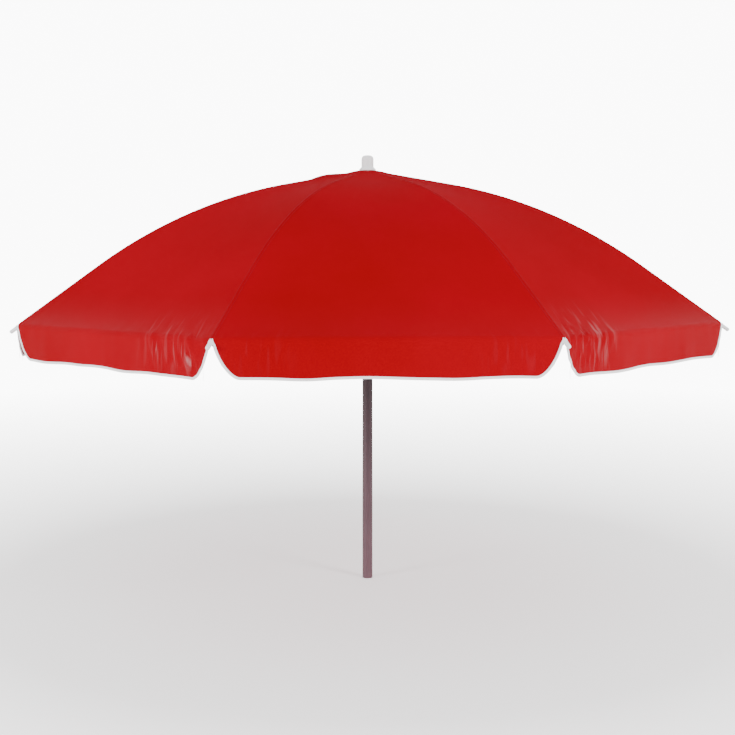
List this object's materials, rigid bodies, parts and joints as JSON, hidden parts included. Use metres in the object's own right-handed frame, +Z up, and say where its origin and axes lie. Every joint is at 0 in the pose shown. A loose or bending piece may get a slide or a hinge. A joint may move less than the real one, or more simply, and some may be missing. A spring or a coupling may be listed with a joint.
{
  "type": "beach umbrella",
  "caption": "Folding beach umbrella with sprung ribs, a sliding runner with a spring catch, a gored canopy with a hanging valance, and a pole that tilts.",
  "frame": {"origin": "centre of the pole's open bottom end", "axes": "+Z up along the pole; a canopy panel faces each of +X, -X, +Y and -Y, and the ribs stand half way between; the pole tilts towards -X; the runner's catch is on the -Y side"},
  "size_m": [1.5682, 1.5682, 1.0429],
  "materials": {
    "pole_steel": "satin coated steel tube",
    "tilt_fittings": "die-cast, bead-blasted",
    "rivet_steel": "zinc-plated",
    "button_plastic": "satin",
    "spring_steel": "blued, oiled",
    "crown_plastic": "satin moulded",
    "ring_wire": "zinc-plated wire",
    "finial_plastic": "gloss moulded",
    "runner_plastic": "satin moulded",
    "rib_steel": "galvanised rod",
    "tip_plastic": "satin moulded",
    "clip_steel": "pressed, zinc-plated",
    "canopy_cloth": "coated plain-weave polyester",
    "binding_tape": "folded woven tape"
  },
  "bodies": {
    "lower_pole": {"lower_pole": "pole_steel", "tilt_fork": "tilt_fittings", "tilt_rivet": "rivet_steel", "button_spring": "spring_steel"},
    "upper_pole": {"upper_pole": "pole_steel", "tilt_tongue": "tilt_fittings", "crown": "crown_plastic", "crown_ring": "ring_wire", "finial": "finial_plastic"},
    "tilt_button": {"tilt_button": "button_plastic"},
    "runner": {"runner": "runner_plastic"},
    "runner_catch": {"runner_catch": "spring_steel"},
    "rib_1": {"rib_1": "rib_steel", "rib_tip_1": "tip_plastic", "rib_clip_1": "clip_steel", "canopy_gore_1": "canopy_cloth", "binding_1": "binding_tape"},
    "stretcher_1": {"stretcher_1": "rib_steel"},
    "rib_2": {"rib_2": "rib_steel", "rib_tip_2": "tip_plastic", "rib_clip_2": "clip_steel", "canopy_gore_2": "canopy_cloth", "binding_2": "binding_tape"},
    "stretcher_2": {"stretcher_2": "rib_steel"},
    "rib_3": {"rib_3": "rib_steel", "rib_tip_3": "tip_plastic", "rib_clip_3": "clip_steel", "canopy_gore_3": "canopy_cloth", "binding_3": "binding_tape"},
    "stretcher_3": {"stretcher_3": "rib_steel"},
    "rib_4": {"rib_4": "rib_steel", "rib_tip_4": "tip_plastic", "rib_clip_4": "clip_steel", "canopy_gore_4": "canopy_cloth", "binding_4": "binding_tape"},
    "stretcher_4": {"stretcher_4": "rib_steel"},
    "rib_5": {"rib_5": "rib_steel", "rib_tip_5": "tip_plastic", "rib_clip_5": "clip_steel", "canopy_gore_5": "canopy_cloth", "binding_5": "binding_tape"},
    "stretcher_5": {"stretcher_5": "rib_steel"},
    "rib_6": {"rib_6": "rib_steel", "rib_tip_6": "tip_plastic", "rib_clip_6": "clip_steel", "canopy_gore_6": "canopy_cloth", "binding_6": "binding_tape"},
    "stretcher_6": {"stretcher_6": "rib_steel"},
    "rib_7": {"rib_7": "rib_steel", "rib_tip_7": "tip_plastic", "rib_clip_7": "clip_steel", "canopy_gore_7": "canopy_cloth", "binding_7": "binding_tape"},
    "stretcher_7": {"stretcher_7": "rib_steel"},
    "rib_8": {"rib_8": "rib_steel", "rib_tip_8": "tip_plastic", "rib_clip_8": "clip_steel", "canopy_gore_8": "canopy_cloth", "binding_8": "binding_tape"},
    "stretcher_8": {"stretcher_8": "rib_steel"}
  },
  "joints": [
    {"name": "tilt", "type": "hinge", "parent": "lower_pole", "child": "upper_pole", "pos_m": [0, 0, 0.59], "axis": [0, 1, 0], "range_deg": [-30, 0]},
    {"name": "button_press", "type": "slide", "parent": "lower_pole", "child": "tilt_button", "axis": [0, -1, 0], "range_m": [0, 0.0018], "stiffness_N_per_m": 500, "springref_m": -0.002, "deforming": ["button_spring"]},
    {"name": "runner_slide", "type": "slide", "parent": "upper_pole", "child": "runner", "axis": [0, 0, -1], "range_m": [0, 0.52028], "deforming": ["runner_catch", "canopy_gore_1", "canopy_gore_2", "canopy_gore_3", "canopy_gore_4", "canopy_gore_5", "canopy_gore_6", "canopy_gore_7", "canopy_gore_8", "binding_1", "binding_2", "binding_3", "binding_4", "binding_5", "binding_6", "binding_7", "binding_8"]},
    {"name": "catch_press", "type": "hinge", "parent": "upper_pole", "child": "runner_catch", "pos_m": [0, -0.0104, 0.7107], "axis": [1, 0, 0], "range_deg": [0, 4], "stiffness_Nm_per_rad": 3, "springref_deg": -2.86},
    {"name": "rib_1_fold", "type": "hinge", "parent": "upper_pole", "child": "rib_1", "pos_m": [0.01848, 0.00765, 1], "axis": [-0.3827, 0.9239, 0], "range_deg": [0, 66]},
    {"name": "stretcher_1_fold", "type": "hinge", "parent": "rib_1", "child": "stretcher_1", "pos_m": [0.37441, 0.15508, 0.89964], "axis": [-0.3827, 0.9239, 0], "range_deg": [-120.1, 0]},
    {"name": "rib_2_fold", "type": "hinge", "parent": "upper_pole", "child": "rib_2", "pos_m": [0.00765, 0.01848, 1], "axis": [-0.9239, 0.3827, 0], "range_deg": [0, 66]},
    {"name": "stretcher_2_fold", "type": "hinge", "parent": "rib_2", "child": "stretcher_2", "pos_m": [0.15508, 0.37441, 0.89964], "axis": [-0.9239, 0.3827, 0], "range_deg": [-120.1, 0]},
    {"name": "rib_3_fold", "type": "hinge", "parent": "upper_pole", "child": "rib_3", "pos_m": [-0.00765, 0.01848, 1], "axis": [-0.9239, -0.3827, 0], "range_deg": [0, 66]},
    {"name": "stretcher_3_fold", "type": "hinge", "parent": "rib_3", "child": "stretcher_3", "pos_m": [-0.15508, 0.37441, 0.89964], "axis": [-0.9239, -0.3827, 0], "range_deg": [-120.1, 0]},
    {"name": "rib_4_fold", "type": "hinge", "parent": "upper_pole", "child": "rib_4", "pos_m": [-0.01848, 0.00765, 1], "axis": [-0.3827, -0.9239, 0], "range_deg": [0, 66]},
    {"name": "stretcher_4_fold", "type": "hinge", "parent": "rib_4", "child": "stretcher_4", "pos_m": [-0.37441, 0.15508, 0.89964], "axis": [-0.3827, -0.9239, 0], "range_deg": [-120.1, 0]},
    {"name": "rib_5_fold", "type": "hinge", "parent": "upper_pole", "child": "rib_5", "pos_m": [-0.01848, -0.00765, 1], "axis": [0.3827, -0.9239, 0], "range_deg": [0, 66]},
    {"name": "stretcher_5_fold", "type": "hinge", "parent": "rib_5", "child": "stretcher_5", "pos_m": [-0.37441, -0.15508, 0.89964], "axis": [0.3827, -0.9239, 0], "range_deg": [-120.1, 0]},
    {"name": "rib_6_fold", "type": "hinge", "parent": "upper_pole", "child": "rib_6", "pos_m": [-0.00765, -0.01848, 1], "axis": [0.9239, -0.3827, 0], "range_deg": [0, 66]},
    {"name": "stretcher_6_fold", "type": "hinge", "parent": "rib_6", "child": "stretcher_6", "pos_m": [-0.15508, -0.37441, 0.89964], "axis": [0.9239, -0.3827, 0], "range_deg": [-120.1, 0]},
    {"name": "rib_7_fold", "type": "hinge", "parent": "upper_pole", "child": "rib_7", "pos_m": [0.00765, -0.01848, 1], "axis": [0.9239, 0.3827, 0], "range_deg": [0, 66]},
    {"name": "stretcher_7_fold", "type": "hinge", "parent": "rib_7", "child": "stretcher_7", "pos_m": [0.15508, -0.37441, 0.89964], "axis": [0.9239, 0.3827, 0], "range_deg": [-120.1, 0]},
    {"name": "rib_8_fold", "type": "hinge", "parent": "upper_pole", "child": "rib_8", "pos_m": [0.01848, -0.00765, 1], "axis": [0.3827, 0.9239, 0], "range_deg": [0, 66]},
    {"name": "stretcher_8_fold", "type": "hinge", "parent": "rib_8", "child": "stretcher_8", "pos_m": [0.37441, -0.15508, 0.89964], "axis": [0.3827, 0.9239, 0], "range_deg": [-120.1, 0]}
  ],
  "couplings": [
    {"joint": "rib_1_fold", "follows": "runner_slide", "rad_per_m": 2.214},
    {"joint": "stretcher_1_fold", "follows": "runner_slide", "rad_per_m": -4.0288},
    {"joint": "rib_2_fold", "follows": "runner_slide", "rad_per_m": 2.214},
    {"joint": "stretcher_2_fold", "follows": "runner_slide", "rad_per_m": -4.0288},
    {"joint": "rib_3_fold", "follows": "runner_slide", "rad_per_m": 2.214},
    {"joint": "stretcher_3_fold", "follows": "runner_slide", "rad_per_m": -4.0288},
    {"joint": "rib_4_fold", "follows": "runner_slide", "rad_per_m": 2.214},
    {"joint": "stretcher_4_fold", "follows": "runner_slide", "rad_per_m": -4.0288},
    {"joint": "rib_5_fold", "follows": "runner_slide", "rad_per_m": 2.214},
    {"joint": "stretcher_5_fold", "follows": "runner_slide", "rad_per_m": -4.0288},
    {"joint": "rib_6_fold", "follows": "runner_slide", "rad_per_m": 2.214},
    {"joint": "stretcher_6_fold", "follows": "runner_slide", "rad_per_m": -4.0288},
    {"joint": "rib_7_fold", "follows": "runner_slide", "rad_per_m": 2.214},
    {"joint": "stretcher_7_fold", "follows": "runner_slide", "rad_per_m": -4.0288},
    {"joint": "rib_8_fold", "follows": "runner_slide", "rad_per_m": 2.214},
    {"joint": "stretcher_8_fold", "follows": "runner_slide", "rad_per_m": -4.0288}
  ]
}
